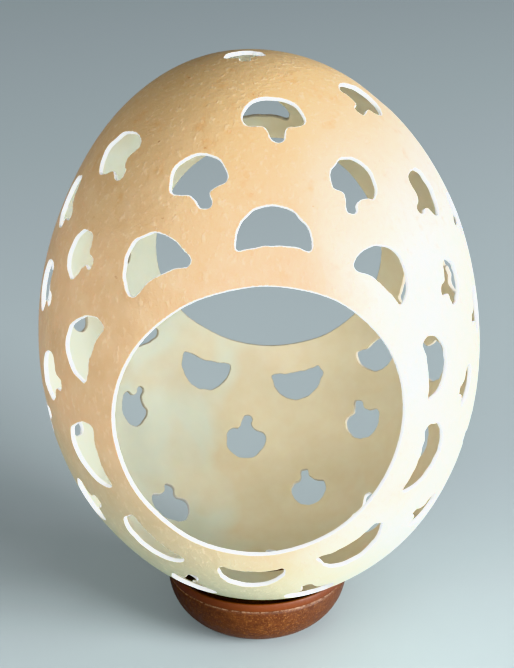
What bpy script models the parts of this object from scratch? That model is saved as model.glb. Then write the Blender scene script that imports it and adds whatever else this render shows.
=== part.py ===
"""A blown hen's egg, pierced by hand and set in a small turned wooden cup.

The shell is one thin body. Two large round windows face each other along Y, and
rings of small cut-outs run round them. Nearest each window are ten half moons
with their flat side to it. Behind those come domed cut-outs, each with a little
knob that points to its window: three rings in front and two at the back, the
outer ones with gaps where the front and back rings meet.

Origin: the middle of the cup's foot, on the surface that it stands on. +Z is up
and the larger window faces -Y.
"""

import bmesh
import bpy
from math import cos, pi, radians, sin, sqrt
from mathutils import Matrix, Vector

MM = 0.001

# Egg: lower end a little blunter than the top, and it leans a little to the left
EGG_HALF_HEIGHT = 28.3 * MM
EGG_RADIUS = 22.0 * MM
LOWER_BLUNTNESS = 0.044
SHELL_THICKNESS = 0.4 * MM
EGG_CENTRE = Vector((0.15, 0.0, 33.0)) * MM
EGG_LEAN = radians(-2.3)
EGG_TURN_STEPS = 32
EGG_RING_STEPS = 20

# Windows: half widths, the turn of the wider one, middle above the egg's own, and bearing
FRONT_WINDOW = {"half_sizes": (13.9 * MM, 13.3 * MM), "turn": radians(55), "rise": -1.05 * MM,
                "bearing": radians(-0.3)}
BACK_WINDOW = {"half_sizes": (12.45 * MM, 12.7 * MM), "turn": radians(-15), "rise": 1.5 * MM,
               "bearing": radians(-3.5)}
WINDOW_SIDES = 36
WINDOW_REACH = 3.0 * MM
WINDOW_APEX = 35.0 * MM
CUT_REACH = 1.3 * MM
CUT_APEX = 1.95 * MM

# Cut-outs by ring. Each row holds: bearing round the window clockwise from the top, as seen
# from the front, in degrees; angle from the window's axis in degrees; width and height in
# millimetres; turn in degrees; how far its knob sits to one side in millimetres; and the slant
# of its outline, as rise over run
FRONT_MOONS = [
    (6.3, 46.4, 7, 3.7, 10, 0.01, -0.03), (42.3, 48.6, 6.6, 3.6, 14, -0.04, 0.02),
    (79.1, 49.2, 6.2, 3.2, -5, -0.18, 0.02), (111.6, 47.7, 6.9, 3.6, 4, 0.11, -0.26),
    (150.3, 45.3, 6.9, 4, -27, -0.41, 0.21), (185, 45.4, 6.4, 3.6, 1, 0.02, 0.07),
    (218.5, 48.1, 7, 3.3, 0, -0.07, 0.14), (253.4, 49.7, 6.8, 4.3, -3, -0.07, 0.13),
    (291.3, 50.4, 6.6, 4, -2, 0.07, -0.11), (329, 47, 7, 4.1, -14, -0.03, -0.04)]
FRONT_KNOBBED_NEAR = [
    (24.6, 61.1, 4.9, 5.4, 22, 0.09, -0.03), (62.5, 64.7, 4.5, 3.9, -6, -0.18, -0.04),
    (93.9, 64.3, 3.9, 3.1, -3, -0.14, -0.32), (132.1, 60.9, 3.8, 4.4, -3, 0.1, -0.26),
    (169.6, 60.7, 5, 6, 2, 0.41, -0.04), (199.5, 60.4, 4.8, 6.5, 6, -0.6, -0.22),
    (234.5, 64.2, 4.9, 5.7, 19, 0.27, -0.15), (273.1, 64.8, 5, 4.9, 3, 0.09, -0.09),
    (310.9, 63.5, 5, 4.2, 1, -0.24, -0.05), (348.1, 58.4, 5.5, 5.2, -6, -0.09, -0.04)]
FRONT_KNOBBED_MIDDLE = [
    (5.1, 69.9, 5.8, 5, 11, -0.06, -0.05), (42.9, 73.6, 5.1, 4.8, 16, 0.15, -0.13),
    (79, 79, 4.7, 4.7, 0, 0, 0), (114, 77, 4.8, 4.8, -18, 0, 0), (148, 75, 4.8, 4.8, -22, 0, 0),
    (200.5, 77, 4.5, 4.6, -20, 0, 0), (222, 75, 4.8, 4.8, 22, 0, 0), (258, 77, 4.8, 4.8, 12, 0, 0),
    (293.7, 76, 5.4, 4.6, -8, 0.21, 0), (331.7, 74.2, 5.3, 5.4, -4, 0.55, -0.13)]
FRONT_KNOBBED_FAR = [
    (22.5, 84.7, 4.9, 5.2, -6, -0.35, 0.15), (56, 86.5, 4.6, 4.4, 0, 0, 0),
    (118, 94, 4.6, 4.4, -5, 0, 0), (137, 88.5, 4.6, 4.4, -20, 0, 0), (179.6, 93, 4.6, 3.9, 180, 0, 0),
    (313.4, 81.9, 5.4, 4.8, 5, 0.51, 0.06), (359.5, 90.4, 3.8, 3.5, 4, 0, 0)]
BACK_KNOBBED_FAR = [
    (30, 80, 4.6, 4.6, 0, 0, 0), (65.4, 77, 4.6, 4.6, 0, 0, 0), (102, 77, 4.6, 4.6, 4, 0, 0),
    (138.8, 73.3, 4.6, 4.8, 9, 0, 0), (156.7, 81.7, 5, 5.7, 11, 0, 0),
    (169.9, 67.7, 4, 4.4, 7, 0.31, 0.03), (203.3, 75.9, 4.8, 4.7, -26, -0.23, 0.08),
    (238.3, 79.9, 4.6, 4.7, -4, 0, 0), (278.6, 80.4, 4.6, 4.7, 0, 0, 0),
    (315.3, 75, 4.6, 4.6, 0, 0, 0), (345, 74, 4.6, 4.6, 0, 0, 0)]
BACK_KNOBBED_NEAR = [
    (12.7, 60, 4.6, 4.8, 0, 0, 0), (46, 63, 4.6, 4.8, 0, 0, 0), (88, 68.9, 4.4, 4.6, 17, 0, 0),
    (119.4, 63.6, 4.7, 5, 11, 0, 0), (150.2, 57.6, 4.4, 4.4, 30, 0.34, -0.05),
    (185.9, 54.4, 4.5, 4.9, 6, 0.4, -0.09), (222.2, 59, 3.8, 4.4, -23, -0.06, 0.15),
    (259.9, 60.5, 4.7, 4.4, 7, 0, 0), (297.5, 60, 4.6, 4.8, 0, 0, 0), (335, 59, 4.6, 4.8, 0, 0, 0)]
BACK_MOONS = [
    (3.6, 44.7, 5.8, 3.2, -5, 0, 0), (36, 46, 5.8, 3.1, 0, 0, 0), (68, 48, 5.8, 3.1, 4, 0, 0),
    (100.4, 48.8, 5.8, 3.1, 8, 0, 0), (132.5, 46.9, 5.8, 3.1, 28, 0, -0.06),
    (166.5, 41.8, 5.8, 3.1, 22, 0.26, -0.16), (204.8, 40.4, 5.9, 3.4, -21, 0, 0.03),
    (240.4, 43.9, 5.8, 3.1, -30, 0, 0), (280.1, 42.3, 5.8, 3.1, 5, 0, 0),
    (322, 43, 5.8, 3.1, 0, 0, 0)]

# Outlines as fractions of width and height, right half, from the side that faces the window.
# The height of a half moon is taken at its middle, without its two raised corners.
MOON_HALF = [(0.0, 0.31), (0.4, 0.42), (0.48, 0.35), (0.5, 0.12), (0.42, -0.28), (0.22, -0.61)]
MOON_FOOT = (0.0, -0.69)
KNOB_HALF = [(0.0, 0.52), (0.12, 0.43), (0.15, 0.27), (0.4, 0.15), (0.5, 0.0), (0.38, -0.32)]
KNOB_FOOT = (0.0, -0.5)

# Sideways shift of the knob: none below the first height, full at the second one above it
KNOB_FROM = 0.12
KNOB_RISE = 0.2

# Cup: foot, bulging side, turned line, rim and the hollow that the egg sits in
FOOT_RADIUS = 4.0 * MM
LINE_RADIUS = 9.4 * MM
LINE_HEIGHT = 5.65 * MM
LINE_DEPTH = 0.15 * MM
LINE_HALF_WIDTH = 0.16 * MM
RIM_RADIUS = 9.45 * MM
RIM_HEIGHT = 6.4 * MM
RIM_RISE = 0.2 * MM
RIM_CHAMFER = 0.12 * MM
SEAT_RADIUS = 8.95 * MM
HOLLOW_DEPTH = 2.6 * MM
SIDE_POINTS = 7
HOLLOW_POINTS = 4
CUP_TURN_STEPS = 40


def clear_scene():
    """Remove every object that the file opened with."""
    for item in list(bpy.data.objects):
        bpy.data.objects.remove(item, do_unlink=True)


def material(name, colour, roughness):
    """A plain Principled material."""
    made = bpy.data.materials.new(name)
    made.use_nodes = True
    shader = made.node_tree.nodes["Principled BSDF"]
    shader.inputs["Base Color"].default_value = (*colour, 1.0)
    shader.inputs["Roughness"].default_value = roughness
    made.diffuse_color = (*colour, 1.0)
    return made


def turned(name, profile, steps):
    """An object turned round Z from a profile at +X that runs down its outer side."""
    mesh = bpy.data.meshes.new(name)
    edges = [(i, i + 1) for i in range(len(profile) - 1)]
    mesh.from_pydata([(radius, 0.0, height) for radius, height in profile], edges, [])
    made = bpy.data.objects.new(name, mesh)
    bpy.context.collection.objects.link(made)
    screw = made.modifiers.new("turn", "SCREW")
    screw.steps = steps
    screw.render_steps = steps
    screw.use_merge_vertices = True
    screw.merge_threshold = 0.00001
    screw.use_smooth_shade = True
    return made


def egg_radius(height):
    """Radius of the egg at a height above its middle: an ellipse, widened towards its foot."""
    part = height / EGG_HALF_HEIGHT
    return EGG_RADIUS * sqrt(max(0.0, 1 - part * part)) * (1 - LOWER_BLUNTNESS * part)


def egg_normal(point):
    """Outward direction of the egg's surface at a point on it."""
    part = point.z / EGG_HALF_HEIGHT
    bow = sqrt(max(1e-9, 1 - part * part))
    slope = -part / bow * (1 - LOWER_BLUNTNESS * part) - LOWER_BLUNTNESS * bow
    slope *= EGG_RADIUS / EGG_HALF_HEIGHT
    out = Vector((point.x, point.y, 0.0))
    out.normalize()
    return Vector((out.x, out.y, -slope)).normalized()


def onto_egg(start, direction):
    """The point where a line from inside the egg leaves its surface."""
    near = 0.0
    far = 2 * EGG_HALF_HEIGHT
    for _ in range(40):
        middle = (near + far) / 2
        point = start + direction * middle
        inside = abs(point.z) < EGG_HALF_HEIGHT and point.xy.length < egg_radius(point.z)
        if inside:
            near = middle
        else:
            far = middle
    return start + direction * near


def whole_outline(half, foot):
    """Closed outline from its right half: up one side and down the other."""
    left = [(-x, y) for x, y in reversed(half[1:])]
    return half + [foot] + left


def cut_points(side, window, row, half, foot):
    """Points of one small cut-out on the egg's surface."""
    bearing, angle, width, height, turn, shift, slant = row
    start = Vector((0.0, 0.0, window["rise"]))
    axis = Vector((0.0, side, 0.0))
    spread = Vector((sin(radians(bearing)), 0.0, cos(radians(bearing))))
    aim = axis * cos(radians(angle)) + spread * sin(radians(angle))
    middle = onto_egg(start, aim)
    normal = egg_normal(middle)
    to_window = (axis - normal * axis.dot(normal)).normalized()
    across = to_window.cross(normal)
    spin = Matrix.Rotation(radians(turn), 3, normal)
    to_window.rotate(spin)
    across.rotate(spin)
    points = []
    for x, y in whole_outline(half, foot):
        knob_part = min(max((y - KNOB_FROM) / KNOB_RISE, 0.0), 1.0)
        sideways = x * width + shift * knob_part
        upwards = y * height + slant * sideways
        flat = middle + across * (sideways * MM) + to_window * (upwards * MM)
        points.append(onto_egg(middle - normal * EGG_RADIUS / 2,
                               (flat - middle + normal * EGG_RADIUS / 2).normalized()))
    return points


def window_points(side, window):
    """Points of a large window on the egg's surface: an oval, seen along the window's bearing."""
    wide, tall = window["half_sizes"]
    points = []
    for step in range(WINDOW_SIDES):
        angle = 2 * pi * step / WINDOW_SIDES
        oval = Vector((wide * cos(angle), 0.0, tall * sin(angle)))
        oval.rotate(Matrix.Rotation(-window["turn"], 3, "Y"))
        oval.z += window["rise"]
        oval.rotate(Matrix.Rotation(window["bearing"], 3, "Z"))
        depth = Vector((0.0, side, 0.0))
        depth.rotate(Matrix.Rotation(window["bearing"], 3, "Z"))
        points.append(onto_egg(oval, depth))
    return points


def add_cutter(vertices, faces, points, reach, apex):
    """Add a plug that stands square to the shell on a closed outline, with a pointed outer end."""
    first = len(vertices)
    count = len(points)
    normals = [egg_normal(point) for point in points]
    vertices.extend(p - n * reach for p, n in zip(points, normals))
    vertices.extend(p + n * reach for p, n in zip(points, normals))
    inner_middle = sum(vertices[first:first + count], Vector()) / count
    vertices.append(inner_middle)
    vertices.append(apex)
    for i in range(count):
        j = (i + 1) % count
        inner_i = first + i
        inner_j = first + j
        faces.append((inner_i, inner_j, inner_j + count, inner_i + count))
        faces.append((inner_j, inner_i, first + 2 * count))
        faces.append((inner_i + count, inner_j + count, first + 2 * count + 1))


def cutter_object():
    """All windows and cut-outs as plugs in one mesh, in the egg's own frame."""
    vertices = []
    faces = []
    for side, window in ((-1, FRONT_WINDOW), (1, BACK_WINDOW)):
        points = window_points(side, window)
        add_cutter(vertices, faces, points, WINDOW_REACH, Vector((0.0, side * WINDOW_APEX, 0.0)))
    rings = ((-1, FRONT_WINDOW, FRONT_MOONS, MOON_HALF, MOON_FOOT),
             (-1, FRONT_WINDOW, FRONT_KNOBBED_NEAR, KNOB_HALF, KNOB_FOOT),
             (-1, FRONT_WINDOW, FRONT_KNOBBED_MIDDLE, KNOB_HALF, KNOB_FOOT),
             (-1, FRONT_WINDOW, FRONT_KNOBBED_FAR, KNOB_HALF, KNOB_FOOT),
             (1, BACK_WINDOW, BACK_KNOBBED_FAR, KNOB_HALF, KNOB_FOOT),
             (1, BACK_WINDOW, BACK_KNOBBED_NEAR, KNOB_HALF, KNOB_FOOT),
             (1, BACK_WINDOW, BACK_MOONS, MOON_HALF, MOON_FOOT))
    for side, window, rows, half, foot in rings:
        for row in rows:
            points = cut_points(side, window, row, half, foot)
            middle = sum(points, Vector()) / len(points)
            apex = middle + egg_normal(middle) * CUT_APEX
            add_cutter(vertices, faces, points, CUT_REACH, apex)
    mesh = bpy.data.meshes.new("cut_outs")
    mesh.from_pydata(vertices, [], faces)
    turned_out = bmesh.new()
    turned_out.from_mesh(mesh)
    bmesh.ops.recalc_face_normals(turned_out, faces=turned_out.faces)
    turned_out.to_mesh(mesh)
    turned_out.free()
    made = bpy.data.objects.new("cut_outs", mesh)
    bpy.context.collection.objects.link(made)
    made.hide_render = True
    made.display_type = "WIRE"
    return made


def place_egg(item):
    """Stand an object made in the egg's frame where the egg leans in its cup."""
    item.location = EGG_CENTRE
    item.rotation_euler = (0.0, EGG_LEAN, 0.0)


def eggshell():
    """The thin shell: a turned egg, hollowed, with every cut-out taken from it."""
    profile = []
    for step in range(EGG_RING_STEPS + 1):
        height = EGG_HALF_HEIGHT * cos(pi * step / EGG_RING_STEPS)
        profile.append((egg_radius(height), height))
    profile[0] = (0.0, EGG_HALF_HEIGHT)
    profile[-1] = (0.0, -EGG_HALF_HEIGHT)
    shell = turned("eggshell", profile, EGG_TURN_STEPS)
    wall = shell.modifiers.new("wall", "SOLIDIFY")
    wall.thickness = SHELL_THICKNESS
    wall.offset = -1.0
    wall.use_even_offset = True
    cutter = cutter_object()
    cut = shell.modifiers.new("pierce", "BOOLEAN")
    cut.operation = "DIFFERENCE"
    cut.solver = "EXACT"
    cut.object = cutter
    place_egg(shell)
    place_egg(cutter)
    shell.data.materials.append(material("tan eggshell", (0.76, 0.55, 0.36), 0.5))
    return shell


def cup():
    """The small turned cup: flat foot, bulging side, one turned line, rim and hollow seat."""
    profile = [(0.0, RIM_HEIGHT - HOLLOW_DEPTH)]
    for step in range(1, HOLLOW_POINTS):
        angle = pi / 2 * step / HOLLOW_POINTS
        height = RIM_HEIGHT - HOLLOW_DEPTH * cos(angle)
        profile.append((SEAT_RADIUS * sin(angle), height))
    profile.append((SEAT_RADIUS, RIM_HEIGHT))
    profile.append((RIM_RADIUS - RIM_CHAMFER, RIM_HEIGHT + RIM_RISE))
    profile.append((RIM_RADIUS, RIM_HEIGHT + RIM_RISE - RIM_CHAMFER))
    profile.append((LINE_RADIUS, LINE_HEIGHT + LINE_HALF_WIDTH))
    profile.append((LINE_RADIUS - LINE_DEPTH, LINE_HEIGHT))
    for step in range(SIDE_POINTS + 1):
        angle = pi / 2 * step / SIDE_POINTS
        height = (LINE_HEIGHT - LINE_HALF_WIDTH) * (1 - sin(angle))
        radius = FOOT_RADIUS + (LINE_RADIUS - FOOT_RADIUS) * cos(angle)
        profile.append((radius, height))
    profile.append((0.0, 0.0))
    made = turned("stand", profile, CUP_TURN_STEPS)
    made.data.materials.append(material("red-brown wood", (0.22, 0.075, 0.03), 0.5))
    return made


clear_scene()
eggshell()
cup()
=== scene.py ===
# %% [markdown]
# # A pierced hen's egg in its little turned cup
# A blown egg is an empty shell less than half a millimetre thick. Here someone has cut two round
# windows through it, one in front and one behind, and rings of small cut-outs round them: half
# moons next to each window, then domes with a little knob. The shell stands in a small cup of
# red-brown wood. This lesson makes the shell as one fine surface with real holes and real cut
# edges, turns the cup, gives each its finish, and lights them softly on a pale floor.

# %% The frame
import bpy
import numpy as np
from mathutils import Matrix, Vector
from mathutils.geometry import delaunay_2d_cdt


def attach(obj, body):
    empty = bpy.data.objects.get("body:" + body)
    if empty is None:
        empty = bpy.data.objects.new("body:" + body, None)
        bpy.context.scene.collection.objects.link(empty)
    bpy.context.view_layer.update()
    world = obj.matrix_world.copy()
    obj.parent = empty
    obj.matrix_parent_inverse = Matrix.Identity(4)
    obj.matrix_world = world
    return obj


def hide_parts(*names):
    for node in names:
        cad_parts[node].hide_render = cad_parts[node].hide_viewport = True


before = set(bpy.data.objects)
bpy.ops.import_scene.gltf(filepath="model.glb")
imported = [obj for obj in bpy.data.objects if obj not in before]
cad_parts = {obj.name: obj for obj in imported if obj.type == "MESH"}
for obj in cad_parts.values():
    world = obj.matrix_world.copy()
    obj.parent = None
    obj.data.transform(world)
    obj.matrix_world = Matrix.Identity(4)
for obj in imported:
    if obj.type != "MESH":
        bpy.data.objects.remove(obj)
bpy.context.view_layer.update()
MM = 0.001

# %% [markdown]
# ## The egg's own curve
# A hen's egg is nearly an ellipse turned round its long axis, with one end blunter. A mesh could be
# turned from a drawn profile, but a formula is handier here, because every hole has to lie on the
# same surface. So each point of the egg is named by a direction, a unit vector from its middle, and
# three small functions turn a direction into a point, a point into a direction, and give the
# outward normal.

# %% The egg's formula
EGG_HALF_HEIGHT = 28.3
EGG_RADIUS = 22.0
LOWER_BLUNTNESS = 0.044
SHELL_THICKNESS = 0.4
EGG_CENTRE = np.array([0.15, 0.0, 33.0])
EGG_LEAN = np.radians(-2.3)


def unit(vectors):
    """Rows divided by their own length."""
    return vectors / np.linalg.norm(vectors, axis=-1, keepdims=True)


def egg_point(direction):
    """Half height times the direction's z; radius times its x and y, less the blunting times z."""
    belly = EGG_RADIUS * (1 - LOWER_BLUNTNESS * direction[..., 2:3])
    return np.concatenate([direction[..., :2] * belly, direction[..., 2:3] * EGG_HALF_HEIGHT], -1)


def egg_direction(point):
    """The formula of egg_point turned round, and brought back to unit length."""
    height = point[..., 2:3] / EGG_HALF_HEIGHT
    belly = EGG_RADIUS * (1 - LOWER_BLUNTNESS * height)
    return unit(np.concatenate([point[..., :2] / belly, height], -1))


def egg_normal(point):
    """Slope of (x squared + y squared) / belly squared + (z / half height) squared."""
    height = point[..., 2:3] / EGG_HALF_HEIGHT
    belly = EGG_RADIUS * (1 - LOWER_BLUNTNESS * height)
    flat = point[..., :2] / belly**2
    round_part = (point[..., :2]**2).sum(-1, keepdims=True)
    upright = round_part * EGG_RADIUS * LOWER_BLUNTNESS / (EGG_HALF_HEIGHT * belly**3)
    return unit(np.concatenate([flat, upright + height / EGG_HALF_HEIGHT], -1))


def stand_egg(points):
    """Points of the egg, in millimetres, leaned over and set above the cup, in metres."""
    lean = np.array([[np.cos(EGG_LEAN), 0, np.sin(EGG_LEAN)], [0, 1, 0],
                     [-np.sin(EGG_LEAN), 0, np.cos(EGG_LEAN)]])
    return (points @ lean.T + EGG_CENTRE) * MM


print("egg", 2 * EGG_HALF_HEIGHT, "x", 2 * EGG_RADIUS, "mm")

# %% [markdown]
# ## The cut-outs
# The holes were drawn and cut by hand, so they keep a rule, ten to a ring and each ring half a step
# on from the last, but no two are alike. Each row below gives one hole: its bearing round the window
# clockwise from the top as seen from the front, its angle from the window's axis, its width and
# height in millimetres, how far it is turned, how far its knob sits to one side in millimetres, and
# how much its outline slants. Where a hole shows in the photograph, whole or in part, its row was
# fitted to the outline traced there, and the others follow the rings. One more cut-out lies at the
# lowest point, over the cup's hollow. Only the right half of each outline is drawn, as if the whole
# were about one unit wide and tall, and a row's width and height stretch it. A knob's shift comes in
# little by little, from KNOB_FROM upwards, over KNOB_RISE.

# %% Windows and rings of cut-outs
FRONT_WINDOW = {"side": -1, "half_sizes": (13.9, 13.3), "turn": 55, "rise": -1.05, "bearing": -0.3}
BACK_WINDOW = {"side": 1, "half_sizes": (12.45, 12.7), "turn": -15, "rise": 1.5, "bearing": -3.5}
FRONT_MOONS = [
    (6.3, 46.4, 7, 3.7, 10, 0.01, -0.03), (42.3, 48.6, 6.6, 3.6, 14, -0.04, 0.02),
    (79.1, 49.2, 6.2, 3.2, -5, -0.18, 0.02), (111.6, 47.7, 6.9, 3.6, 4, 0.11, -0.26),
    (150.3, 45.3, 6.9, 4, -27, -0.41, 0.21), (185, 45.4, 6.4, 3.6, 1, 0.02, 0.07),
    (218.5, 48.1, 7, 3.3, 0, -0.07, 0.14), (253.4, 49.7, 6.8, 4.3, -3, -0.07, 0.13),
    (291.3, 50.4, 6.6, 4, -2, 0.07, -0.11), (329, 47, 7, 4.1, -14, -0.03, -0.04)]
FRONT_KNOBBED = [
    (24.6, 61.1, 4.9, 5.4, 22, 0.09, -0.03), (62.5, 64.7, 4.5, 3.9, -6, -0.18, -0.04),
    (93.9, 64.3, 3.9, 3.1, -3, -0.14, -0.32), (132.1, 60.9, 3.8, 4.4, -3, 0.1, -0.26),
    (169.6, 60.7, 5, 6, 2, 0.41, -0.04), (199.5, 60.4, 4.8, 6.5, 6, -0.6, -0.22),
    (234.5, 64.2, 4.9, 5.7, 19, 0.27, -0.15), (273.1, 64.8, 5, 4.9, 3, 0.09, -0.09),
    (310.9, 63.5, 5, 4.2, 1, -0.24, -0.05), (348.1, 58.4, 5.5, 5.2, -6, -0.09, -0.04),
    (5.1, 69.9, 5.8, 5, 11, -0.06, -0.05), (42.9, 73.6, 5.1, 4.8, 16, 0.15, -0.13),
    (79, 79, 4.7, 4.7, 0, 0, 0), (114, 77, 4.8, 4.8, -18, 0, 0), (148, 75, 4.8, 4.8, -22, 0, 0),
    (200.5, 77, 4.5, 4.6, -20, 0, 0), (222, 75, 4.8, 4.8, 22, 0, 0), (258, 77, 4.8, 4.8, 12, 0, 0),
    (293.7, 76, 5.4, 4.6, -8, 0.21, 0), (331.7, 74.2, 5.3, 5.4, -4, 0.55, -0.13),
    (22.5, 84.7, 4.9, 5.2, -6, -0.35, 0.15), (56, 86.5, 4.6, 4.4, 0, 0, 0),
    (118, 94, 4.6, 4.4, -5, 0, 0), (137, 88.5, 4.6, 4.4, -20, 0, 0), (179.6, 93, 4.6, 3.9, 180, 0, 0),
    (313.4, 81.9, 5.4, 4.8, 5, 0.51, 0.06), (359.5, 90.4, 3.8, 3.5, 4, 0, 0)]
BACK_KNOBBED = [
    (30, 80, 4.6, 4.6, 0, 0, 0), (65.4, 77, 4.6, 4.6, 0, 0, 0), (102, 77, 4.6, 4.6, 4, 0, 0),
    (138.8, 73.3, 4.6, 4.8, 9, 0, 0), (156.7, 81.7, 5, 5.7, 11, 0, 0),
    (169.9, 67.7, 4, 4.4, 7, 0.31, 0.03), (203.3, 75.9, 4.8, 4.7, -26, -0.23, 0.08),
    (238.3, 79.9, 4.6, 4.7, -4, 0, 0), (278.6, 80.4, 4.6, 4.7, 0, 0, 0),
    (315.3, 75, 4.6, 4.6, 0, 0, 0), (345, 74, 4.6, 4.6, 0, 0, 0), (12.7, 60, 4.6, 4.8, 0, 0, 0),
    (46, 63, 4.6, 4.8, 0, 0, 0), (88, 68.9, 4.4, 4.6, 17, 0, 0), (119.4, 63.6, 4.7, 5, 11, 0, 0),
    (150.2, 57.6, 4.4, 4.4, 30, 0.34, -0.05), (185.9, 54.4, 4.5, 4.9, 6, 0.4, -0.09),
    (222.2, 59, 3.8, 4.4, -23, -0.06, 0.15), (259.9, 60.5, 4.7, 4.4, 7, 0, 0),
    (297.5, 60, 4.6, 4.8, 0, 0, 0), (335, 59, 4.6, 4.8, 0, 0, 0)]
BACK_MOONS = [
    (3.6, 44.7, 5.8, 3.2, -5, 0, 0), (36, 46, 5.8, 3.1, 0, 0, 0), (68, 48, 5.8, 3.1, 4, 0, 0),
    (100.4, 48.8, 5.8, 3.1, 8, 0, 0), (132.5, 46.9, 5.8, 3.1, 28, 0, -0.06),
    (166.5, 41.8, 5.8, 3.1, 22, 0.26, -0.16), (204.8, 40.4, 5.9, 3.4, -21, 0, 0.03),
    (240.4, 43.9, 5.8, 3.1, -30, 0, 0), (280.1, 42.3, 5.8, 3.1, 5, 0, 0),
    (322, 43, 5.8, 3.1, 0, 0, 0)]
MOON_HALF = [(0.0, 0.31), (0.2, 0.32), (0.35, 0.38), (0.44, 0.41), (0.49, 0.33), (0.5, 0.12),
             (0.46, -0.12), (0.38, -0.35), (0.26, -0.55), (0.13, -0.66)]
MOON_FOOT = (0.0, -0.69)
KNOB_HALF = [(0.0, 0.52), (0.08, 0.5), (0.12, 0.43), (0.12, 0.34), (0.15, 0.26), (0.22, 0.2),
             (0.34, 0.17), (0.44, 0.13), (0.5, 0.02), (0.48, -0.13), (0.41, -0.29), (0.29, -0.42),
             (0.15, -0.485)]
KNOB_FOOT = (0.0, -0.5)
KNOB_FROM = 0.12
KNOB_RISE = 0.2
print(len(FRONT_MOONS) + len(FRONT_KNOBBED) + len(BACK_KNOBBED) + len(BACK_MOONS), "cut-outs")

# %% [markdown]
# ## From a drawn outline to a hole
# A hole's outline starts as a few points drawn flat. A smooth closed curve through them is sampled
# at even steps, shaken a little because a hand held the tool, laid on the plane that touches the
# egg there, and pushed down onto the egg. Everything is whole arrays: one array of points a hole.

# %% Outline functions
OUTLINE_STEP = 0.16
WINDOW_STEP = 0.28
WINDOW_CORNERS = 48
STEPS_A_CORNER = 24
FEWEST_POINTS = 12
HAND_SHAKE = 0.035
HAND_SLIP = 0.03
SHAKE_WAVES = np.arange(3, 15)
SIGHT_REACH = 1.2 * EGG_HALF_HEIGHT
SIGHT_STEPS = 3000
rng = np.random.default_rng(11)


def whole_outline(half, foot):
    """The right half, the foot, and the right half mirrored and read backwards."""
    left = [(-x, y) for x, y in reversed(half[1:])]
    return np.array(half + [foot] + left)


def smooth_closed(corners, step):
    """Cubic curve through each corner, whose slope there is half the chord between its neighbours.
    The curve is then read off at even steps of its own length."""
    slopes = (np.roll(corners, -1, 0) - np.roll(corners, 1, 0)) / 2
    t = np.linspace(0, 1, STEPS_A_CORNER, endpoint=False)[None, :, None]
    start, end = corners[:, None], np.roll(corners, -1, 0)[:, None]
    leave, arrive = slopes[:, None], np.roll(slopes, -1, 0)[:, None]
    curve = ((2 * t**3 - 3 * t**2 + 1) * start + (t**3 - 2 * t**2 + t) * leave
             + (3 * t**2 - 2 * t**3) * end + (t**3 - t**2) * arrive).reshape(-1, corners.shape[1])
    closed = np.vstack([curve, curve[:1]])
    run = np.concatenate([[0], np.cumsum(np.linalg.norm(np.diff(closed, axis=0), axis=1))])
    count = max(FEWEST_POINTS, int(round(run[-1] / step)))
    wanted = np.linspace(0, run[-1], count, endpoint=False)
    return np.stack([np.interp(wanted, run, closed[:, k]) for k in range(closed.shape[1])], 1)


def shaken(outline, size):
    """The outline moved along its own normal by a sum of waves with drawn phases."""
    ahead = np.roll(outline, -1, 0) - np.roll(outline, 1, 0)
    sideways = unit(np.stack([ahead[:, 1], -ahead[:, 0]], 1))
    turn = np.linspace(0, 2 * np.pi, len(outline), endpoint=False)[:, None]
    phases = rng.uniform(0, 2 * np.pi, len(SHAKE_WAVES))
    heights = rng.normal(0, 1, len(SHAKE_WAVES)) / np.sqrt(SHAKE_WAVES)
    shake = (np.sin(turn * SHAKE_WAVES + phases) * heights).sum(1)
    return outline + sideways * (size * shake)[:, None]


def lay_on_egg(window, row, flat):
    """A line from the egg's middle, raised with the window, goes at the row's bearing and angle to
    the egg. There the flat points are laid on the plane that touches it, and pushed onto the egg:
    middle + across times x + towards the window times y."""
    bearing, angle, turn = np.radians([row[0], row[1], row[4]])
    side = window["side"]
    aim = np.array([np.sin(bearing) * np.sin(angle), side * np.cos(angle),
                    np.cos(bearing) * np.sin(angle)])
    start = np.array([0.0, 0.0, window["rise"]])
    reach = np.linspace(0, SIGHT_REACH, SIGHT_STEPS)[:, None]
    path = start + reach * aim
    height = path[:, 2] / EGG_HALF_HEIGHT
    belly = EGG_RADIUS * (1 - LOWER_BLUNTNESS * height)
    inside = (path[:, 0]**2 + path[:, 1]**2) / belly**2 + height**2 < 1
    middle = egg_point(egg_direction(path[inside][-1]))
    normal = egg_normal(middle)
    axis = np.array([0.0, side, 0.0])
    to_window = unit(axis - normal * (axis @ normal))
    across = np.cross(to_window, normal)
    spun_window = to_window * np.cos(turn) - across * np.sin(turn)
    spun_across = across * np.cos(turn) + to_window * np.sin(turn)
    return egg_direction(middle + flat[:, :1] * spun_across + flat[:, 1:] * spun_window)


def cut_outline(window, row, half, foot):
    """One small cut-out as directions: x is width times x, plus the shift on the knob, and y is
    height times y, plus slant times x. Its corners then slip a little, and its edge shakes."""
    _, _, width, height, _, shift, slant = row
    corners = whole_outline(half, foot)
    knob_part = np.clip((corners[:, 1] - KNOB_FROM) / KNOB_RISE, 0, 1)
    corners[:, 0] = corners[:, 0] * width + shift * knob_part
    corners[:, 1] = corners[:, 1] * height + slant * corners[:, 0]
    corners = corners + rng.normal(0, HAND_SLIP, corners.shape)
    return lay_on_egg(window, row, shaken(smooth_closed(corners, OUTLINE_STEP), HAND_SHAKE))


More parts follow.
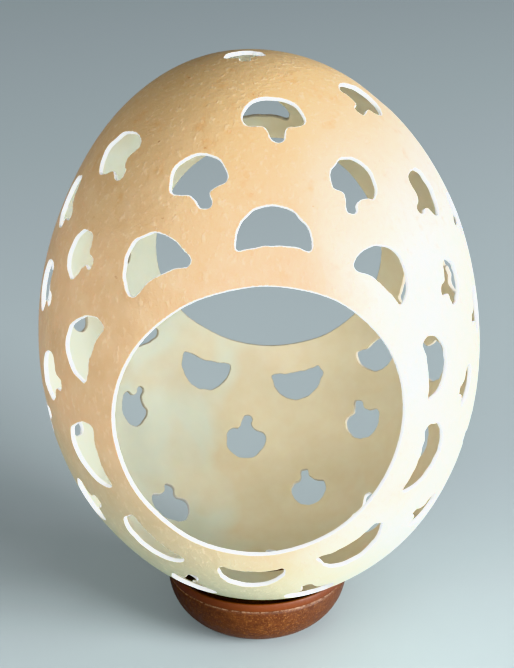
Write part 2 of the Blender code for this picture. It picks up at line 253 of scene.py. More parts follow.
def window_outline(window):
    """A large window as directions: an oval seen along the window's bearing, run out to the egg."""
    wide, tall = window["half_sizes"]
    turn, bearing = np.radians([window["turn"], window["bearing"]])
    angle = np.linspace(0, 2 * np.pi, WINDOW_CORNERS, endpoint=False)
    oval = np.stack([wide * np.cos(angle), tall * np.sin(angle)], 1)
    spin = np.array([[np.cos(turn), -np.sin(turn)], [np.sin(turn), np.cos(turn)]])
    flat = shaken(smooth_closed(oval @ spin.T, WINDOW_STEP), HAND_SHAKE)
    x, z = flat[:, 0], flat[:, 1] + window["rise"]
    height = z / EGG_HALF_HEIGHT
    belly = EGG_RADIUS * np.sqrt(1 - height**2) * (1 - LOWER_BLUNTNESS * height)
    y = window["side"] * np.sqrt(belly**2 - x**2)
    return egg_direction(np.stack([x * np.cos(bearing) - y * np.sin(bearing),
                                   x * np.sin(bearing) + y * np.cos(bearing), z], 1))


outlines = [window_outline(FRONT_WINDOW), window_outline(BACK_WINDOW)]
for window, rows, half, foot in ((FRONT_WINDOW, FRONT_MOONS, MOON_HALF, MOON_FOOT),
                                 (FRONT_WINDOW, FRONT_KNOBBED, KNOB_HALF, KNOB_FOOT),
                                 (BACK_WINDOW, BACK_KNOBBED, KNOB_HALF, KNOB_FOOT),
                                 (BACK_WINDOW, BACK_MOONS, MOON_HALF, MOON_FOOT)):
    outlines += [cut_outline(window, row, half, foot) for row in rows]
print(len(outlines), "outlines,", sum(len(o) for o in outlines), "points")

# %% [markdown]
# ## A skin with holes in it
# Cutting seventy holes with a Boolean would leave long thin triangles that catch the light. Instead
# the egg is unrolled: looking from the middle of the back window, every direction lands on one flat
# plane, where small shapes keep their form. There the outlines are fixed edges, the space between
# them is filled with even rings of points, and one call joins them all in well-shaped triangles. The
# triangles in the holes are thrown away, and the points go back to their places on the egg. On that
# plane the back window's outline is the outer border: what lies outside it goes, not what is inside.

# %% Flat map and filling points
SKIN_STEP = 0.52
MIDDLE_RADIUS = 24.5
SHOULDER = 0.14
CLEAR_OF_EDGE = 0.3
NEARBY = 1.0
SAME_POINT = 1e-7
FIRST_RING = np.radians(25)
LAST_RING = np.radians(155)
RING_SPACING = 0.87
BACK_OUTLINE = 1


def flat_map(direction):
    """Seen from +Y: x and z divided by one minus y. Circles stay circles."""
    return direction[:, [0, 2]] / (1 - direction[:, 1:2])


def back_on_egg(flat):
    """The flat map turned round: with s the squared distance, (2x, s - 1, 2z) over (1 + s)."""
    s = (flat**2).sum(1, keepdims=True)
    return np.concatenate([2 * flat[:, :1], s - 1, 2 * flat[:, 1:]], 1) / (1 + s)


def edge_frame(direction):
    """Point, outward normal, and the way towards the hole along the skin, for one outline."""
    point = egg_point(direction)
    normal = egg_normal(point)
    along = unit(np.roll(point, -1, 0) - np.roll(point, 1, 0))
    inward = np.cross(normal, along)
    if ((point.mean(0) - point) * inward).sum() < 0:
        inward = -inward
    return point, normal, inward


def inside_outline(points, outline):
    """Even-odd rule: how many outline edges a level ray from each point crosses."""
    x, z = points[:, :1], points[:, 1:]
    ax, az = outline[:, 0], outline[:, 1]
    bx, bz = np.roll(ax, -1), np.roll(az, -1)
    spans = (az > z) != (bz > z)
    rise = np.where(bz == az, 1.0, bz - az)
    return (spans & (x < ax + (z - az) / rise * (bx - ax))).sum(1) % 2 == 1


def ring_points():
    """Rings round the Y axis, evenly spaced, each with as many evenly spaced points as fit."""
    rings = []
    angles = np.arange(FIRST_RING, LAST_RING, SKIN_STEP * RING_SPACING / MIDDLE_RADIUS)
    for number, angle in enumerate(angles):
        count = int(round(2 * np.pi * MIDDLE_RADIUS * np.sin(angle) / SKIN_STEP))
        turn = (np.arange(count) + 0.5 * (number % 2)) * 2 * np.pi / count
        rings.append(np.stack([np.sin(angle) * np.cos(turn), np.full(count, -np.cos(angle)),
                               np.sin(angle) * np.sin(turn)], 1))
    return np.concatenate(rings)


edges_3d = [edge_frame(outline) for outline in outlines]
loops = [egg_direction(point - inward * SHOULDER) for point, _, inward in edges_3d]
flat_loops = [flat_map(loop) for loop in loops]
fill = ring_points()
fill_flat = flat_map(fill)
fill_point = egg_point(fill)
keep = np.ones(len(fill), bool)
for number, (loop, flat_loop) in enumerate(zip(loops, flat_loops)):
    ring = egg_point(loop)
    middle = ring.mean(0)
    reach = np.linalg.norm(ring - middle, axis=1).max() + NEARBY
    near = np.where(np.linalg.norm(fill_point - middle, axis=1) < reach)[0]
    gaps = np.linalg.norm(fill_point[near][:, None] - ring[None], axis=2).min(1)
    keep[near[gaps < CLEAR_OF_EDGE]] = False
    if number == BACK_OUTLINE:
        keep &= inside_outline(fill_flat, flat_loop)
    else:
        keep[near[inside_outline(fill_flat[near], flat_loop)]] = False
fill_flat = fill_flat[keep]
print(len(fill_flat), "filling points")

# %% Triangles between the outlines
loop_starts = np.cumsum([0] + [len(loop) for loop in flat_loops])
all_flat = np.concatenate(flat_loops + [fill_flat])
fixed_edges = [(int(a + i), int(a + (i + 1) % (b - a)))
               for a, b in zip(loop_starts[:-1], loop_starts[1:]) for i in range(b - a)]
joined = delaunay_2d_cdt([Vector(p) for p in all_flat.tolist()], fixed_edges, [], 0, SAME_POINT)
skin_flat = np.array([tuple(v) for v in joined[0]])
triangles = np.array(joined[2])
source = np.array([origin[0] if origin else -1 for origin in joined[3]])
owner = np.full(len(skin_flat), -1)
from_loop = (source >= 0) & (source < loop_starts[-1])
owner[from_loop] = np.searchsorted(loop_starts, source[from_loop], side="right") - 1
owners = owner[triangles]
same = (owners[:, 0] == owners[:, 1]) & (owners[:, 1] == owners[:, 2]) & (owners[:, 0] >= 0)
centres = skin_flat[triangles].mean(1)
drop = np.zeros(len(triangles), bool)
for number, flat_loop in enumerate(flat_loops):
    mine = np.where(same & (owners[:, 0] == number))[0]
    within = inside_outline(centres[mine], flat_loop)
    drop[mine[~within if number == BACK_OUTLINE else within]] = True
triangles = triangles[~drop]
loop_vertex = np.zeros(loop_starts[-1], int)
loop_vertex[source[from_loop]] = np.where(from_loop)[0]
print(len(skin_flat), "skin points,", len(triangles), "triangles,",
      "new points:", int((source < 0).sum()))

# %% [markdown]
# ## Thickness and cut edges
# Eggshell breaks square and chalky, with its corners just rubbed off. The inner skin is the outer
# one, moved in by the thickness along the normals and turned to face inwards. Between them a small
# profile is carried along every outline: a narrow shoulder, a rubbed corner, the wall, and the same
# again on the inside. A number stored on the points tells the finish where the shoulder is.

# %% Shell mesh
CORNER = 0.05
WALL_BULGE = 0.012
WALL_PROFILE = np.array([(-CORNER, 0.0), (0.0, -CORNER), (WALL_BULGE, -SHELL_THICKNESS / 2),
                         (0.0, CORNER - SHELL_THICKNESS), (-CORNER, -SHELL_THICKNESS)])
WALL_ROUGHNESS = 0.012
WAVE_HEIGHT = 0.045
WAVE_DEPTH = 0.03
LONG_WAVES = np.array([[0.21, 0.05, 0.13], [-0.09, 0.24, 0.11], [0.31, -0.17, 0.06],
                       [0.07, 0.12, -0.36], [0.4, 0.33, 0.21], [-0.45, 0.12, 0.38]])
WAVE_PHASES = np.array([0.4, 1.9, 3.3, 5.1, 2.2, 0.9])
WAVE_SHARES = np.array([1.0, 0.9, 0.6, 0.5, 0.3, 0.25])
OUTSIDE, EDGE, INSIDE = 0, 1, 2


def unevenness(point):
    """A sum of long waves through space, in millimetres: no real egg is a perfect curve."""
    rise = (np.sin(point @ LONG_WAVES.T + WAVE_PHASES) * WAVE_SHARES).sum(-1, keepdims=True)
    return WAVE_HEIGHT * rise - WAVE_DEPTH


def shell_arrays():
    """Skin points, inner points and wall rings; triangles; quads; one material number a face; and
    for each point 1 on a cut and 0 elsewhere."""
    skin_direction = back_on_egg(skin_flat)
    smooth = egg_point(skin_direction)
    normal = egg_normal(smooth)
    outer = smooth + normal * unevenness(smooth)
    inner = outer - normal * SHELL_THICKNESS
    points = [outer, inner]
    count = len(outer)
    first = 2 * count
    quads = []
    kinds = []
    whitened = [np.zeros(2 * count)]
    for number, (point, out, inward) in enumerate(edges_3d):
        size = len(point)
        ring = np.arange(size)
        lifted = point + out * unevenness(point)
        rows = (lifted[None] + inward[None] * WALL_PROFILE[:, 0, None, None]
                + out[None] * WALL_PROFILE[:, 1, None, None])
        rows += inward[None] * rng.normal(0, WALL_ROUGHNESS, (len(WALL_PROFILE), size, 1))
        points.append(rows.reshape(-1, 3))
        whitened.append(np.ones(rows.shape[0] * size))
        skin_ring = loop_vertex[loop_starts[number] + ring]
        levels = [skin_ring] + [first + level * size + ring for level in range(len(WALL_PROFILE))]
        levels.append(skin_ring + count)
        grid = np.array(levels)
        ahead = np.roll(grid, -1, axis=1)
        faces = np.stack([grid[:-1], grid[1:], ahead[1:], ahead[:-1]], -1)
        along = np.roll(point, -1, 0) - point
        if (np.cross(out, along) * inward).sum() > 0:
            faces = faces[..., ::-1]
        quads.append(faces.reshape(-1, 4))
        band = np.full(faces.shape[:2], EDGE)
        band[0] = OUTSIDE
        band[-1] = INSIDE
        kinds.append(band.ravel())
        first += rows.shape[0] * size
    corners = smooth[triangles]
    facing = np.cross(corners[:, 1] - corners[:, 0], corners[:, 2] - corners[:, 0])
    flip = (facing * normal[triangles[:, 0]]).sum(1) < 0
    skin_faces = np.where(flip[:, None], triangles[:, ::-1], triangles)
    inner_faces = skin_faces[:, ::-1] + count
    kinds = [np.full(len(triangles), OUTSIDE), np.full(len(triangles), INSIDE)] + kinds
    return (np.concatenate(points), np.concatenate([skin_faces, inner_faces]),
            np.concatenate(quads), np.concatenate(kinds), np.concatenate(whitened))


def mesh_object(name, points, triangle_faces, quad_faces, kinds=None):
    """A smooth-shaded mesh object from arrays of points, triangles and quads."""
    mesh = bpy.data.meshes.new(name)
    mesh.vertices.add(len(points))
    mesh.vertices.foreach_set("co", points.astype(np.float32).ravel())
    corners = np.concatenate([triangle_faces.ravel(), quad_faces.ravel()]).astype(np.int32)
    sizes = np.concatenate([np.full(len(triangle_faces), 3), np.full(len(quad_faces), 4)])
    mesh.loops.add(len(corners))
    mesh.loops.foreach_set("vertex_index", corners)
    mesh.polygons.add(len(sizes))
    mesh.polygons.foreach_set("loop_start", (np.cumsum(sizes) - sizes).astype(np.int32))
    mesh.polygons.foreach_set("use_smooth", np.ones(len(sizes), bool))
    if kinds is not None:
        mesh.polygons.foreach_set("material_index", kinds.astype(np.int32))
    mesh.update(calc_edges=True)
    mesh.validate()
    made = bpy.data.objects.new(name, mesh)
    bpy.context.scene.collection.objects.link(made)
    return made


shell_points, shell_triangles, shell_quads, shell_kinds, shell_white = shell_arrays()
shell = mesh_object("pierced_shell", stand_egg(shell_points), shell_triangles, shell_quads,
                    shell_kinds)
whitened = shell.data.attributes.new("cut", "FLOAT", "POINT")
whitened.data.foreach_set("value", shell_white.astype(np.float32))
print("shell:", len(shell.data.vertices), "points,",
      len(shell_triangles) + 2 * len(shell_quads), "triangles")

# %% [markdown]
# ## The turned cup
# The cup was turned on a lathe, so it is one profile carried round the upright axis: flat foot,
# full side, a fine line cut with the tool's tip, a narrow rim, and a hollow that the egg rests over.
# The hollow and the side are quarter ovals. The rim and the line are a few drawn points, each given
# by how far out and up it lies from the rim's or the line's own radius and height.

# %% Cup mesh
FOOT_RADIUS = 4.0
LINE_RADIUS = 9.4
LINE_HEIGHT = 5.65
RIM_RADIUS = 9.45
RIM_HEIGHT = 6.4
RIM_RISE = 0.2
SEAT_RADIUS = 8.95
HOLLOW_DEPTH = 2.6
HOLLOW_EDGE = 0.1
HOLLOW_LIP = 0.05
INNER_RIM = [(-0.03, -0.012), (0.06, 0.03)]
OUTER_RIM = [(-0.14, 0.0), (-0.045, -0.03), (0.0, -0.11)]
LINE_SHAPE = [(0.03, 0.15), (0.0, 0.09), (-0.1, 0.035), (-0.13, 0.0), (-0.1, -0.035), (0.0, -0.09)]
SIDE_BELOW_LINE = 0.12
SIDE_START = 0.04
FOOT_CURL = 0.03
FOOT_EDGE = 0.25
HOLLOW_POINTS = 22
SIDE_POINTS = 46
CUP_STEPS = 180


def cup_profile():
    """Radius and height from the hollow's middle over the rim and down to the foot's middle. The
    hollow's radius goes with the sine and its depth with the cosine of a quarter turn; the side's
    bulge goes with the cosine and its fall with the sine."""
    dip = np.linspace(0, np.pi / 2, HOLLOW_POINTS)
    hollow = np.stack([(SEAT_RADIUS - HOLLOW_EDGE) * np.sin(dip),
                       RIM_HEIGHT - HOLLOW_DEPTH * np.cos(dip)], 1)
    hollow[-1, 1] -= HOLLOW_LIP
    inner_rim = np.array([SEAT_RADIUS, RIM_HEIGHT]) + INNER_RIM
    outer_rim = np.array([RIM_RADIUS, RIM_HEIGHT + RIM_RISE]) + OUTER_RIM
    line = np.array([LINE_RADIUS, LINE_HEIGHT]) + LINE_SHAPE
    fall = np.linspace(SIDE_START, np.pi / 2, SIDE_POINTS)
    side = np.stack([FOOT_RADIUS + (LINE_RADIUS - FOOT_RADIUS) * np.cos(fall),
                     (LINE_HEIGHT - SIDE_BELOW_LINE) * (1 - np.sin(fall))], 1)
    side[-2:, 1] = [FOOT_CURL, 0.0]
    foot = np.array([(FOOT_RADIUS - FOOT_EDGE, 0.0), (FOOT_RADIUS / 2, 0.0), (0.0, 0.0)])
    return np.concatenate([hollow, inner_rim, outer_rim, line, side, foot])


def cup_arrays():
    """Each profile point carried round the upright axis; the two ends are single points."""
    profile = cup_profile()
    ends = profile[[0, -1]]
    body = profile[1:-1]
    turn = np.arange(CUP_STEPS) * 2 * np.pi / CUP_STEPS
    grid = np.stack([body[:, :1] * np.cos(turn), body[:, :1] * np.sin(turn),
                     np.repeat(body[:, 1:], CUP_STEPS, 1)], -1)
    points = np.concatenate([grid.reshape(-1, 3), [[0, 0, ends[0, 1]], [0, 0, ends[1, 1]]]])
    number = np.arange(len(body) * CUP_STEPS).reshape(len(body), CUP_STEPS)
    ahead = np.roll(number, -1, 1)
    quads = np.stack([number[:-1], number[1:], ahead[1:], ahead[:-1]], -1).reshape(-1, 4)
    top, bottom = len(points) - 2, len(points) - 1
    lid = np.stack([np.full(CUP_STEPS, top), number[0], ahead[0]], 1)
    base = np.stack([np.full(CUP_STEPS, bottom), ahead[-1], number[-1]], 1)
    return points, np.concatenate([lid, base]), quads


cup_points, cup_triangles, cup_quads = cup_arrays()
cup = mesh_object("turned_cup", cup_points * MM, cup_triangles, cup_quads)
print("cup:", len(cup.data.vertices), "points")

# %% [markdown]
# ## Finishes
# A finish is a small tree of nodes. These helpers keep each one to a few lines: they fill a node's
# sockets, add a node, and make the patterns, mixes and reliefs that the finishes share. Patterns are
# laid in the object's own coordinates in millimetres, so a noise's scale reads as waves to the
# millimetre.

# %% Node helpers
def plug(tree, node, **sockets):
    """A node's sockets given values or links: by name, or by number after an underscore."""
    for name, value in sockets.items():
        number = name[1:]
        socket = node.inputs[int(number) if number.isdigit() else name.replace("_", " ")]
        if isinstance(value, bpy.types.NodeSocket):
            tree.links.new(value, socket)
        else:
            socket.default_value = value


def add(tree, kind, settings=None, **sockets):
    """A new node with its settings made and its sockets filled."""
    made = tree.nodes.new(kind)
    for name, value in (settings or {}).items():
        setattr(made, name, value)
    plug(tree, made, **sockets)
    return made


def stretched(tree, place, scale, turn=(0.0, 0.0, 0.0)):
    """Coordinates multiplied by three scales, and then turned by three angles in radians."""
    return add(tree, "ShaderNodeMapping", Vector=place, Scale=scale, Rotation=turn).outputs["Vector"]


def blank(name):
    """A new material, its tree, its shader node and coordinates in millimetres."""
    made = bpy.data.materials.new(name)
    made.use_nodes = True
    tree = made.node_tree
    place = add(tree, "ShaderNodeTexCoord").outputs["Object"]
    in_millimetres = stretched(tree, place, (1 / MM, 1 / MM, 1 / MM))
    return made, tree, tree.nodes["Principled BSDF"], in_millimetres


def noise(tree, place, scale, detail=3.0, roughness=0.5, distortion=0.0):
    """Cloudy grey pattern, with scale in waves to the millimetre."""
    return add(tree, "ShaderNodeTexNoise", Vector=place, Scale=scale, Detail=detail,
               Roughness=roughness, Distortion=distortion).outputs["Fac"]


def between(tree, value, low, high, to_low=0.0, to_high=1.0):
    """A value stretched from one range to another, and clamped."""
    return add(tree, "ShaderNodeMapRange", Value=value, From_Min=low, From_Max=high, To_Min=to_low,
               To_Max=to_high).outputs["Result"]


def blend(tree, factor, first, second):
    """Two colours mixed by a factor."""
    return add(tree, "ShaderNodeMix", {"data_type": "RGBA"}, _0=factor, _6=first, _7=second).outputs[2]


def worked(tree, operation, *values):
    """Numbers put through one sum, product or other operation."""
    sockets = {f"_{number}": value for number, value in enumerate(values)}
    return add(tree, "ShaderNodeMath", {"operation": operation}, **sockets).outputs[0]


def relief(tree, height, strength, depth, under=None):
    """A pattern raised by a depth in metres, over another relief if there is one."""
    made = add(tree, "ShaderNodeBump", Height=height, Strength=strength, Distance=depth)
    if under is not None:
        plug(tree, made, Normal=under)
    return made.outputs["Normal"]


def colour(red, green, blue):
    """A screen colour, 0 to 255, as the linear colour that a shader takes. By the screens' standard
    curve, a share is divided by 12.92 when small, and else it is (share + 0.055) / 1.055, to the
    power 2.4."""
    shown = np.array([red, green, blue]) / 255
    linear = np.where(shown <= 0.04045, shown / 12.92, ((shown + 0.055) / 1.055)**2.4)
    return (*linear.tolist(), 1.0)


print("helpers ready")

# %% [markdown]
# ## Eggshell outside
# The outside is tan, with a darker tan over the top that is painted shade, and on the right it turns
# cream and then nearly white, which is a painted highlight where the lamp falls. At the bottom it is a
# pale greenish cream, partly the shell's own paler colour and partly painted reflection of light from
# the floor. Under a lens it is satin, full of pores and low pimples, with brown specks and yellowish
# stains near the top. At each cut the tan layer has flaked off in a thin ragged cream line.
# A little light sinks in, which is what makes eggshell look like eggshell. Each pair of numbers
# below says where, in millimetres, a tint starts and where it is full.

# %% Outside finish
SUNK_LIGHT = 0.35
TAN, LIGHT_TAN, LIGHT_PATCH = colour(203, 168, 127), colour(214, 178, 137), colour(230, 207, 172)
# Cream and near white for the right side: painted highlight.
HIGHLIGHT_CREAM, HIGHLIGHT_WHITE = colour(240, 234, 202), colour(238, 239, 242)
# The greenish cream is partly painted reflection of light from the floor; the darker top tan is painted
# shade.
GREENISH_AND_REFLECTED, SHADED_TOP_TAN = colour(168, 184, 157), colour(190, 160, 116)
STAIN, SPECK = colour(188, 140, 84), colour(150, 98, 58)
PIMPLE, FLAKED = colour(246, 228, 196), colour(244, 236, 218)
BORDER_DRIFT = 4.0
HIGHLIGHT_CREAM_ACROSS = (3, 13)
HIGHLIGHT_WHITE_ACROSS = (5, 17)
HIGHLIGHT_WHITE_INWARDS = (22.5, 15)
LOWER_TILT = 0.3
GREENISH_DOWN = (24, 3)
GREENISH_FORWARD = (8, -6)
SHADED_TOP_UP = (45, 60)
SPOTS_UP = (36, 54)
RAGGED = 0.45


def outside_finish():
    """Ground tints first, with a painted highlight on the right, painted shade over the top and a
    painted floor reflection at the bottom; then stains, specks, pimples and the flaked line, and
    last the relief.
    """
    made, tree, shader, place = blank("tan eggshell")
    parts = add(tree, "ShaderNodeSeparateXYZ", Vector=place).outputs
    tone = blend(tree, between(tree, noise(tree, place, 0.09, 2.0), 0.35, 0.65), TAN, LIGHT_TAN)
    patches = between(tree, noise(tree, place, 0.45, 4.0), 0.4, 0.75, 0.0, 0.3)
    tone = blend(tree, patches, tone, LIGHT_PATCH)
    drift = between(tree, noise(tree, place, 0.06, 2.0), 0.3, 0.7, -BORDER_DRIFT, BORDER_DRIFT)
    across = worked(tree, "ADD", parts["X"], drift)
    # Painted highlight: towards the right the tan turns to cream and then nearly white, where the
    # lamp's light falls.
    tone = blend(tree, between(tree, across, *HIGHLIGHT_CREAM_ACROSS), tone, HIGHLIGHT_CREAM)
    painted_highlight = worked(tree, "MULTIPLY", between(tree, across, *HIGHLIGHT_WHITE_ACROSS, 0.0, 0.9),
                        between(tree, parts["X"], *HIGHLIGHT_WHITE_INWARDS, 0.3, 1.0))
    tone = blend(tree, painted_highlight, tone, HIGHLIGHT_WHITE)
    # Towards the bottom front: a pale greenish cream, partly the shell's own colour and partly painted
    # reflection of light from the floor.
    slope = worked(tree, "MULTIPLY_ADD", parts["X"], LOWER_TILT, parts["Z"])
    lower = worked(tree, "MULTIPLY", between(tree, slope, *GREENISH_DOWN),
                   between(tree, parts["Y"], *GREENISH_FORWARD, 0.4, 1.0))
    tone = blend(tree, lower, tone, GREENISH_AND_REFLECTED)
    # Painted shade: a darker tan over the top.
    tone = blend(tree, between(tree, parts["Z"], *SHADED_TOP_UP), tone, SHADED_TOP_TAN)

    upper = between(tree, parts["Z"], *SPOTS_UP)
    stains = between(tree, noise(tree, place, 0.5, 3.0, 0.6), 0.58, 0.74, 0.0, 0.5)
    tone = blend(tree, worked(tree, "MULTIPLY", stains, upper), tone, STAIN)
    specks = between(tree, noise(tree, place, 2.0, 2.0, 0.6), 0.69, 0.76)
    patchy = between(tree, noise(tree, place, 0.22, 1.0), 0.48, 0.6, 0.0, 0.8)
    specks = worked(tree, "MULTIPLY", worked(tree, "MULTIPLY", specks, upper), patchy)
    tone = blend(tree, specks, tone, SPECK)
    long_way = stretched(tree, place, (1.0, 1.0, 0.6), (0.0, 0.6, 0.0))
    pimples = between(tree, noise(tree, long_way, 1.9, 2.0, 0.55), 0.56, 0.72)
    tone = blend(tree, worked(tree, "MULTIPLY", pimples, 0.2), tone, PIMPLE)
    cut = add(tree, "ShaderNodeAttribute", {"attribute_name": "cut"}).outputs["Fac"]
    uneven = between(tree, noise(tree, place, 3.5, 3.0, 0.7), 0.3, 0.7, -RAGGED, RAGGED)
    flaked = between(tree, worked(tree, "ADD", cut, uneven), 0.6, 0.72)

    low = relief(tree, noise(tree, place, 1.1, 5.0, 0.6), 0.5, 0.14 * MM)
    raised = relief(tree, pimples, 0.4, 0.06 * MM, low)
    pores = add(tree, "ShaderNodeTexVoronoi", {"feature": "F1"}, Vector=place, Scale=2.1)
    pits = between(tree, pores.outputs["Distance"], 0.0, 0.22)
    plug(tree, shader, Base_Color=blend(tree, flaked, tone, FLAKED),
         Normal=relief(tree, pits, 0.3, 0.04 * MM, raised),
         Roughness=between(tree, noise(tree, place, 0.8, 3.0), 0.3, 0.7, 0.42, 0.6),
         Subsurface_Weight=SUNK_LIGHT, Subsurface_Radius=(1.0, 0.62, 0.36), Subsurface_Scale=0.5 * MM)
    return made


print("outside finish ready")

# %% [markdown]
# ## Cut edge and inside
# The cut edge is bare chalk, white and rough, and greyer at the back, which is painted shade. The
# inside still has its thin skin: pale green with soft clouds of beige, made paler on the left by
# painted light and closed up towards the right by painted shade.

# %% Edge and inside finishes
# The third, greyer white is painted shade for the walls at the back.
CHALK, BRIGHT_CHALK, SHADED_CHALK = colour(238, 238, 242), colour(250, 250, 254), colour(190, 180, 162)
SHADE_BACKWARDS = (5, 10)
SKIN_GREEN, SKIN_BEIGE, SKIN_LIGHT = colour(212, 216, 202), colour(214, 200, 171), colour(226, 224, 208)
# Where painted light on the left gives way to painted shade on the right, in millimetres.
LIGHT_TO_SHADE_ACROSS = (-16, 9)


def edge_finish():
    """Two whites in a fine pattern, painted shade towards the back, and a rough grain."""
    made, tree, shader, place = blank("chalk white edge")
    tone = blend(tree, noise(tree, place, 2.5, 4.0), CHALK, BRIGHT_CHALK)
    depth = add(tree, "ShaderNodeSeparateXYZ", Vector=place).outputs["Y"]
    # Painted shade: the walls turn greyer towards the back.
    tone = blend(tree, between(tree, depth, *SHADE_BACKWARDS), tone, SHADED_CHALK)
    grain = relief(tree, noise(tree, place, 6.0, 4.0, 0.7), 0.4, 0.04 * MM)
    plug(tree, shader, Base_Color=tone, Normal=grain, Roughness=0.75, Subsurface_Weight=SUNK_LIGHT,
         Subsurface_Radius=(1.0, 0.85, 0.7), Subsurface_Scale=0.4 * MM)
    return made


def inside_finish():
    """Clouds of beige on pale green, with painted light towards the left and painted shade adding
    beige towards the right, and fine light flecks.
    """
    made, tree, shader, place = blank("cream inside")
    side = add(tree, "ShaderNodeSeparateXYZ", Vector=place).outputs["X"]
    # Real clouds of beige, plus painted light and shade: the beige is pushed back on the left and
    # spread on the right.
    clouds = worked(tree, "ADD",
                    between(tree, noise(tree, place, 0.12, 2.0, 0.45, 0.3), 0.36, 0.64),
                    between(tree, side, *LIGHT_TO_SHADE_ACROSS, -0.6, 0.8))
    tone = blend(tree, between(tree, clouds, 0.1, 0.9), SKIN_GREEN, SKIN_BEIGE)
    fine = between(tree, noise(tree, place, 0.6, 4.0), 0.3, 0.7, 0.0, 0.25)
    plug(tree, shader, Base_Color=blend(tree, fine, tone, SKIN_LIGHT),
         Normal=relief(tree, noise(tree, place, 0.7, 3.0), 0.15, 0.1 * MM), Roughness=0.5,
         Subsurface_Weight=SUNK_LIGHT, Subsurface_Radius=(1.0, 0.7, 0.42), Subsurface_Scale=0.5 * MM)
    return made


for finish in (outside_finish, edge_finish, inside_finish):
    shell.data.materials.append(finish())
print("shell finishes:", [m.name for m in shell.data.materials])

# %% [markdown]
# ## Wood of the cup
# The cup is a close-grained red-brown wood, waxed and handled, flecked with lighter grain, with fine
# rings from the lathe and pale dust in the line. Painted shade darkens its left side and, less, its
# right side, and painted light gives a plain, lighter red-brown band above the turned line.

# %% Wood finish
WOOD, LIGHT_WOOD, WARM_WOOD = colour(66, 34, 20), colour(88, 48, 27), colour(100, 60, 32)
# The band colour is painted light above the turned line.
DARK_WOOD, FLECK, LIT_BAND = colour(48, 25, 17), colour(146, 98, 56), colour(98, 50, 27)
# The two dark woods are painted shade for the cup's left and right sides.
SHADED_LEFT_WOOD, SHADED_RIGHT_WOOD, DUST = colour(34, 17, 16), colour(52, 27, 18), colour(150, 122, 100)
SHADE_LEFT = (0, -9)
SHADE_RIGHT = (3, 9)
DUST_FROM_LINE = (0.1, 0.02)
LIT_BAND_UP = (LINE_HEIGHT + 0.05, LINE_HEIGHT + 0.2)


def wood_finish():
    """Grain, mottles and flecks, then the band of painted light, the sides darkened by painted
    shade, and the dust, and last the relief.
    """
    made, tree, shader, place = blank("red-brown wood")
    parts = add(tree, "ShaderNodeSeparateXYZ", Vector=place).outputs
    along_grain = stretched(tree, place, (0.35, 2.2, 2.2), (0.2, 0.35, 0.5))
    grain = between(tree, noise(tree, along_grain, 1.0, 5.0, 0.6, 0.6), 0.3, 0.7)
    tone = blend(tree, grain, WOOD, LIGHT_WOOD)
    mottle = noise(tree, place, 1.3, 5.0, 0.65)
    tone = blend(tree, between(tree, mottle, 0.45, 0.75, 0.0, 0.8), tone, WARM_WOOD)
    dark = between(tree, noise(tree, place, 3.2, 4.0, 0.7), 0.58, 0.72, 0.0, 0.7)
    tone = blend(tree, dark, tone, DARK_WOOD)
    flecks = between(tree, noise(tree, place, 5.0, 3.0, 0.7), 0.53, 0.68, 0.0, 0.6)
    tone = blend(tree, flecks, tone, FLECK)
    # Painted light: a plain, lighter band above the turned line, lifting the shade under the egg.
    tone = blend(tree, between(tree, parts["Z"], *LIT_BAND_UP), tone, LIT_BAND)
    # Painted shade: the cup darker towards its left and right sides.
    tone = blend(tree, between(tree, parts["X"], *SHADE_LEFT, 0.0, 0.75), tone, SHADED_LEFT_WOOD)
    tone = blend(tree, between(tree, parts["X"], *SHADE_RIGHT, 0.0, 0.5), tone, SHADED_RIGHT_WOOD)
    from_line = worked(tree, "ABSOLUTE", worked(tree, "SUBTRACT", parts["Z"], LINE_HEIGHT))
    dusty = between(tree, noise(tree, place, 1.6, 4.0, 0.7), 0.42, 0.58)
    dust = worked(tree, "MULTIPLY", between(tree, from_line, *DUST_FROM_LINE), dusty)
    lathe_rings = noise(tree, stretched(tree, place, (0.12, 0.12, 9.0)), 1.0, 3.0)
    rings = relief(tree, lathe_rings, 0.35, 0.05 * MM)
    plug(tree, shader, Base_Color=blend(tree, dust, tone, DUST),
         Normal=relief(tree, mottle, 0.5, 0.12 * MM, rings),
         Roughness=between(tree, mottle, 0.3, 0.7, 0.42, 0.65), Specular_IOR_Level=0.3)
    return made


cup.data.materials.append(wood_finish())
print("cup finish:", cup.data.materials[0].name)

# %% [markdown]
# ## Tie the pieces to the model
# Both pieces ride on the model's one body, and each stands for its own solid.

# %% Riding and replacing
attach(shell, "root")
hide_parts("eggshell")
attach(cup, "root")
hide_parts("stand")
print("pieces tied")

# %% [markdown]
# ## Floor, light and camera
# A pale floor, a strong soft lamp at the right, two weak ones in front and high at the left, and a
# little light from all round. The camera looks down on the egg with a long lens, as in the
# photograph.

# %% Floor
FLOOR_HALF = 1.5
FLOOR_GREY = colour(176, 188, 192)


def pale_floor():
    """One large square face at the height of the cup's foot, in metres."""
    corners = np.array([(-FLOOR_HALF, -FLOOR_HALF, 0), (FLOOR_HALF, -FLOOR_HALF, 0),
                        (FLOOR_HALF, FLOOR_HALF, 0), (-FLOOR_HALF, FLOOR_HALF, 0)])
    made = mesh_object("floor", corners, np.zeros((0, 3), int), np.array([[0, 1, 2, 3]]))
    finish = bpy.data.materials.new("pale floor")
    finish.use_nodes = True
    tree = finish.node_tree
    plug(tree, tree.nodes["Principled BSDF"], Base_Color=FLOOR_GREY, Roughness=0.8)
    made.data.materials.append(finish)
    return made


pale_floor()
print("floor", 2 * FLOOR_HALF, "m across")

# %% [markdown]
# Each lamp has a name, a place and a width in metres, a power in watts and a tint.

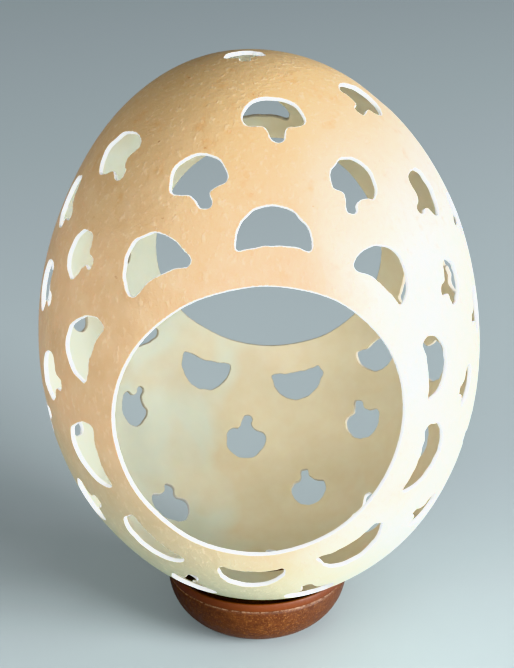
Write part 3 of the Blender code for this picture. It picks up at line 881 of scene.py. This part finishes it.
# %% Lights
LAMPS = [("key", (0.44, -0.26, 0.12), 0.3, 9.2, (0.98, 1.0, 1.0)),
         ("front", (-0.06, -0.6, 0.16), 0.3, 1.6, (1.0, 1.0, 0.98)),
         ("fill", (-0.36, -0.42, 0.32), 0.5, 1.7, (1.0, 1.0, 0.96))]
ROOM_TINT = (0.9, 0.95, 1.0, 1.0)
ROOM_LIGHT = 0.25


def placed(name, data, place, way):
    """A new lamp or camera at a place, turned to look along a way with its top upwards."""
    made = bpy.data.objects.new(name, data)
    made.location = place
    made.rotation_euler = way.to_track_quat("-Z", "Y").to_euler()
    bpy.context.scene.collection.objects.link(made)
    return made


for name, place, width, power, tint in LAMPS:
    lamp = bpy.data.lights.new(name, "AREA")
    lamp.size = width
    lamp.energy = power
    lamp.color = tint
    placed(name, lamp, place, Vector(EGG_CENTRE * MM) - Vector(place))
world = bpy.data.worlds.new("soft room")
world.use_nodes = True
plug(world.node_tree, world.node_tree.nodes["Background"], Color=ROOM_TINT, Strength=ROOM_LIGHT)
bpy.context.scene.world = world
bpy.context.scene.view_settings.view_transform = "Khronos PBR Neutral"

# %% Camera
CAMERA_RISE = np.radians(24.0)
CAMERA_DISTANCE = 190.0
LENS = 102.3
SENSOR_WIDTH = 36.0
NEAREST_SEEN = 0.01
AIM_SIDE = -0.21
AIM_UP = -0.49


def photo_camera():
    """Back from the egg's middle along the sight line; aimed a little left of and below it."""
    back = np.array([0, -np.cos(CAMERA_RISE), np.sin(CAMERA_RISE)])
    up = np.array([0, np.sin(CAMERA_RISE), np.cos(CAMERA_RISE)])
    place = EGG_CENTRE + back * CAMERA_DISTANCE
    target = EGG_CENTRE + np.array([AIM_SIDE, 0, 0]) + up * AIM_UP
    lens = bpy.data.cameras.new("camera")
    lens.lens = LENS
    lens.sensor_width = SENSOR_WIDTH
    lens.clip_start = NEAREST_SEEN
    return placed("camera", lens, Vector(place * MM), Vector(target - place))


bpy.context.scene.camera = photo_camera()
print("camera at", [round(v, 4) for v in bpy.context.scene.camera.location])
